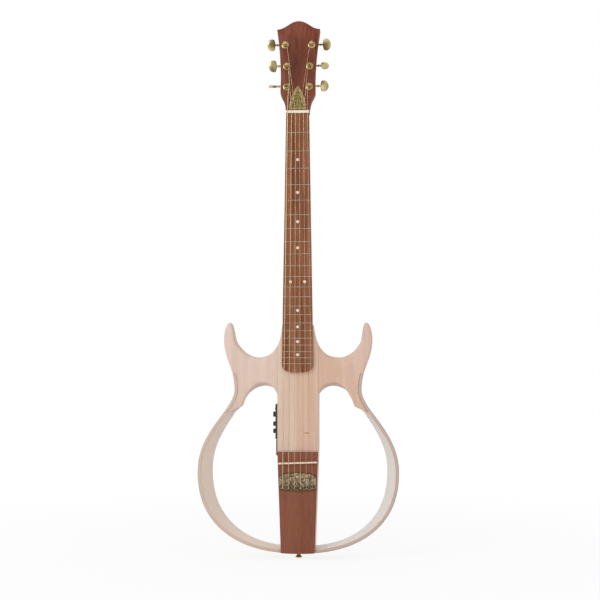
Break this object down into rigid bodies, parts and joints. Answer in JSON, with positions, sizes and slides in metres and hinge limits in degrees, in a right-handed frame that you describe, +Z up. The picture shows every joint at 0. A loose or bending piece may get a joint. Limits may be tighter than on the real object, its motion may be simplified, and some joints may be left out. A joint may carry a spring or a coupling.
{
  "type": "silent guitar",
  "caption": "Steel-string silent guitar: solid centre block, carved horned shoulders and a bent wooden rim round two open bouts, slotless headstock, geared tuners, side preamp.",
  "frame": {"origin": "middle of the nut's front edge, on the fretboard's playing face, where a wall hanger's yoke holds the neck just above", "axes": "+X to the treble side, +Y from the front to the back, +Z up along the neck to the headstock"},
  "size_m": [0.3748, 0.0818, 1.0118],
  "materials": {
    "pale_wood": "satin lacquer, fine straight grain",
    "brown_wood": "satin, open grain",
    "neck_wood": "satin",
    "board_wood": "oiled, streaked grain",
    "veneer_wood": "gloss lacquer",
    "gold": "polished, gold coloured",
    "nickel": "polished nickel",
    "steel": "bare",
    "bronze": "wound wire",
    "ivory": "satin, bone coloured",
    "black_plastic": "fine matt",
    "grey_plastic": "satin",
    "ornament": null,
    "circuit_green": "lacquered board",
    "battery_case": "painted"
  },
  "bodies": {
    "guitar": {"neck": "neck_wood", "headstock_veneer": "veneer_wood", "truss_rod": "steel", "truss_rod_cover": "ornament", "nut": "ivory", "fretboard": "board_wood", "string_low_e": "bronze", "string_a": "bronze", "string_d": "bronze", "string_g": "bronze", "string_b": "nickel", "string_high_e": "nickel", "tuner_bushing_low_e": "gold", "tuner_bushing_a": "gold", "tuner_bushing_d": "gold", "tuner_bushing_g": "gold", "tuner_bushing_b": "gold", "tuner_bushing_high_e": "gold", "tuner_housing_low_e": "gold", "tuner_housing_a": "gold", "tuner_housing_d": "gold", "tuner_housing_g": "gold", "tuner_housing_b": "gold", "tuner_housing_high_e": "gold", "centre_block": "pale_wood", "centre_top": "pale_wood", "tail_plate": "brown_wood", "shoulder_bass": "pale_wood", "shoulder_treble": "pale_wood", "rim_bass": "pale_wood", "rim_treble": "pale_wood", "saddle": "ivory", "pickup_strip": "steel", "tailpiece": "ornament", "preamp_housing": "black_plastic", "circuit_board": "circuit_green", "output_jack": "nickel", "jack_plate": "nickel", "strap_button_tail": "gold", "strap_button_heel": "gold", "rear_cover": "black_plastic"},
    "knob_low_e": {"tuner_knob_low_e": "gold"},
    "post_low_e": {"tuner_post_low_e": "gold"},
    "knob_a": {"tuner_knob_a": "gold"},
    "post_a": {"tuner_post_a": "gold"},
    "knob_d": {"tuner_knob_d": "gold"},
    "post_d": {"tuner_post_d": "gold"},
    "knob_g": {"tuner_knob_g": "gold"},
    "post_g": {"tuner_post_g": "gold"},
    "knob_b": {"tuner_knob_b": "gold"},
    "post_b": {"tuner_post_b": "gold"},
    "knob_high_e": {"tuner_knob_high_e": "gold"},
    "post_high_e": {"tuner_post_high_e": "gold"},
    "volume_control": {"volume_knob": "black_plastic"},
    "bass_control": {"bass_knob": "black_plastic"},
    "treble_control": {"treble_knob": "black_plastic"},
    "button": {"check_button": "grey_plastic"},
    "drawer": {"battery_drawer": "black_plastic", "battery": "battery_case"}
  },
  "joints": [
    {"name": "knob_low_e_turn", "type": "hinge", "parent": "guitar", "child": "knob_low_e", "pos_m": [-0.0212, 0.03109, 0.05722], "axis": [1, 0, 0], "continuous": true},
    {"name": "post_low_e_turn", "type": "hinge", "parent": "guitar", "child": "post_low_e", "pos_m": [-0.0212, 0.01002, 0.0518], "axis": [0, 0.9848, -0.1736], "continuous": true},
    {"name": "knob_a_turn", "type": "hinge", "parent": "guitar", "child": "knob_a", "pos_m": [-0.0216, 0.03819, 0.0975], "axis": [1, 0, 0], "continuous": true},
    {"name": "post_a_turn", "type": "hinge", "parent": "guitar", "child": "post_a", "pos_m": [-0.0216, 0.01713, 0.09208], "axis": [0, 0.9848, -0.1736], "continuous": true},
    {"name": "knob_d_turn", "type": "hinge", "parent": "guitar", "child": "knob_d", "pos_m": [-0.025, 0.04564, 0.13975], "axis": [1, 0, 0], "continuous": true},
    {"name": "post_d_turn", "type": "hinge", "parent": "guitar", "child": "post_d", "pos_m": [-0.025, 0.02457, 0.13432], "axis": [0, 0.9848, -0.1736], "continuous": true},
    {"name": "knob_g_turn", "type": "hinge", "parent": "guitar", "child": "knob_g", "pos_m": [0.025, 0.04564, 0.13975], "axis": [1, 0, 0], "continuous": true},
    {"name": "post_g_turn", "type": "hinge", "parent": "guitar", "child": "post_g", "pos_m": [0.025, 0.02457, 0.13432], "axis": [0, 0.9848, -0.1736], "continuous": true},
    {"name": "knob_b_turn", "type": "hinge", "parent": "guitar", "child": "knob_b", "pos_m": [0.0216, 0.03819, 0.0975], "axis": [1, 0, 0], "continuous": true},
    {"name": "post_b_turn", "type": "hinge", "parent": "guitar", "child": "post_b", "pos_m": [0.0216, 0.01713, 0.09208], "axis": [0, 0.9848, -0.1736], "continuous": true},
    {"name": "knob_high_e_turn", "type": "hinge", "parent": "guitar", "child": "knob_high_e", "pos_m": [0.0212, 0.03109, 0.05722], "axis": [1, 0, 0], "continuous": true},
    {"name": "post_high_e_turn", "type": "hinge", "parent": "guitar", "child": "post_high_e", "pos_m": [0.0212, 0.01002, 0.0518], "axis": [0, 0.9848, -0.1736], "continuous": true},
    {"name": "volume_turn", "type": "hinge", "parent": "guitar", "child": "volume_control", "pos_m": [-0.043, 0.037, -0.5623], "axis": [-1, 0, 0], "range_deg": [-140, 140]},
    {"name": "bass_turn", "type": "hinge", "parent": "guitar", "child": "bass_control", "pos_m": [-0.043, 0.037, -0.5801], "axis": [-1, 0, 0], "range_deg": [-140, 140]},
    {"name": "treble_turn", "type": "hinge", "parent": "guitar", "child": "treble_control", "pos_m": [-0.043, 0.037, -0.5936], "axis": [-1, 0, 0], "range_deg": [-140, 140]},
    {"name": "check_button_press", "type": "slide", "parent": "guitar", "child": "button", "axis": [1, 0, 0], "range_m": [0, 0.0012], "stiffness_N_per_m": 400},
    {"name": "battery_drawer_slide", "type": "slide", "parent": "guitar", "child": "drawer", "axis": [-1, 0, 0], "range_m": [0, 0.05]}
  ],
  "couplings": [
    {"joint": "post_low_e_turn", "follows": "knob_low_e_turn", "ratio": -0.066667},
    {"joint": "post_a_turn", "follows": "knob_a_turn", "ratio": -0.066667},
    {"joint": "post_d_turn", "follows": "knob_d_turn", "ratio": -0.066667},
    {"joint": "post_g_turn", "follows": "knob_g_turn", "ratio": -0.066667},
    {"joint": "post_b_turn", "follows": "knob_b_turn", "ratio": -0.066667},
    {"joint": "post_high_e_turn", "follows": "knob_high_e_turn", "ratio": -0.066667}
  ]
}
